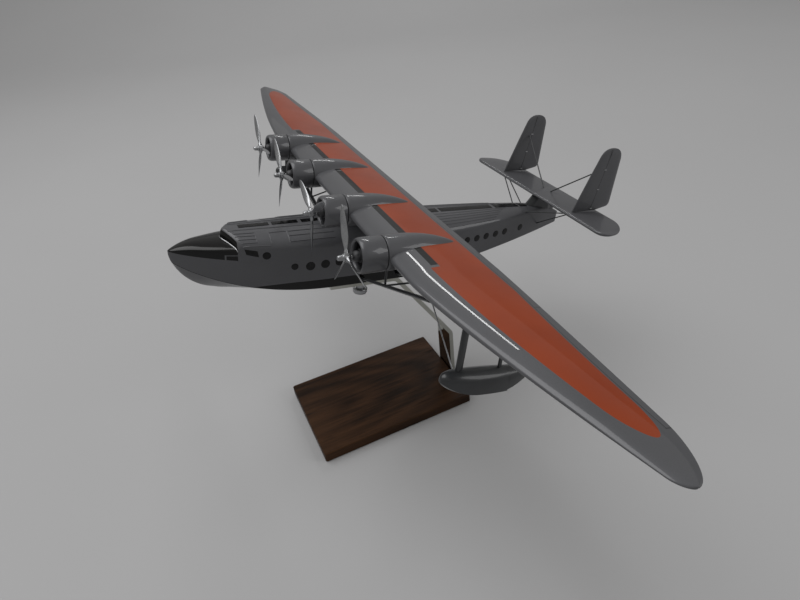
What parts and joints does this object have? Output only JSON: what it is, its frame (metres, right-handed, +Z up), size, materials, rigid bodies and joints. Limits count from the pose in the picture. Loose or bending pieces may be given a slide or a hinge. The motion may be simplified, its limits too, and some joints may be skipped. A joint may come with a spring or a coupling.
{
  "type": "aircraft display model",
  "caption": "Desktop display model of a high-wing flying boat with turning propellers, held nose-up on a bent metal strip and a wooden plate.",
  "frame": {"origin": "centre of the wooden plate's underside", "axes": "+Z up, nose towards -Y, wings along X, the aircraft's left wing towards +X"},
  "size_m": [0.4992, 0.2832, 0.2062],
  "materials": {
    "walnut": "satin",
    "polished_metal": "polished",
    "silver_lacquer": "semi-gloss",
    "silver_metal": "semi-gloss",
    "orange_lacquer": "gloss",
    "dark_lacquer": "satin",
    "dark_metal": "satin",
    "engine_black": "matte"
  },
  "bodies": {
    "model_on_stand": {"base_plate": "walnut", "stand_strip": "polished_metal", "strip_screw_left": "polished_metal", "strip_screw_right": "polished_metal", "keel_thumbscrew": "polished_metal", "hull": "silver_lacquer", "wing_pylon": "dark_lacquer", "wing": "orange_lacquer", "cowling_1": "silver_metal", "radial_engine_1": "engine_black", "firewall_1": "engine_black", "nacelle_1": "silver_lacquer", "propeller_pin_1": "polished_metal", "cowling_2": "silver_metal", "radial_engine_2": "engine_black", "firewall_2": "engine_black", "nacelle_2": "silver_lacquer", "propeller_pin_2": "polished_metal", "cowling_3": "silver_metal", "radial_engine_3": "engine_black", "firewall_3": "engine_black", "nacelle_3": "silver_lacquer", "propeller_pin_3": "polished_metal", "cowling_4": "silver_metal", "radial_engine_4": "engine_black", "firewall_4": "engine_black", "nacelle_4": "silver_lacquer", "propeller_pin_4": "polished_metal", "tailplane": "silver_lacquer", "tail_pylon": "dark_lacquer", "main_strut_front_left": "dark_metal", "main_strut_rear_left": "dark_metal", "jury_strut_upright_left": "dark_metal", "jury_strut_cross_left": "dark_metal", "wing_float_left": "dark_lacquer", "float_strut_front_left": "dark_metal", "float_strut_rear_left": "dark_metal", "float_bracing_rod_left": "polished_metal", "fin_left": "silver_lacquer", "fin_brace_left": "dark_metal", "tailplane_brace_front_left": "dark_metal", "tailplane_brace_rear_left": "dark_metal", "main_strut_front_right": "dark_metal", "main_strut_rear_right": "dark_metal", "jury_strut_upright_right": "dark_metal", "jury_strut_cross_right": "dark_metal", "wing_float_right": "dark_lacquer", "float_strut_front_right": "dark_metal", "float_strut_rear_right": "dark_metal", "float_bracing_rod_right": "polished_metal", "fin_right": "silver_lacquer", "fin_brace_right": "dark_metal", "tailplane_brace_front_right": "dark_metal", "tailplane_brace_rear_right": "dark_metal"},
    "propeller_1_body": {"propeller_1": "silver_metal"},
    "propeller_2_body": {"propeller_2": "silver_metal"},
    "propeller_3_body": {"propeller_3": "silver_metal"},
    "propeller_4_body": {"propeller_4": "silver_metal"}
  },
  "joints": [
    {"name": "propeller_1_spin", "type": "hinge", "parent": "model_on_stand", "child": "propeller_1_body", "pos_m": [-0.0835, -0.0302, 0.1839], "axis": [0, -0.977, 0.213], "continuous": true},
    {"name": "propeller_2_spin", "type": "hinge", "parent": "model_on_stand", "child": "propeller_2_body", "pos_m": [-0.03, -0.0302, 0.1839], "axis": [0, -0.977, 0.213], "continuous": true},
    {"name": "propeller_3_spin", "type": "hinge", "parent": "model_on_stand", "child": "propeller_3_body", "pos_m": [0.03, -0.0302, 0.1839], "axis": [0, -0.977, 0.213], "continuous": true},
    {"name": "propeller_4_spin", "type": "hinge", "parent": "model_on_stand", "child": "propeller_4_body", "pos_m": [0.0835, -0.0302, 0.1839], "axis": [0, -0.977, 0.213], "continuous": true}
  ]
}
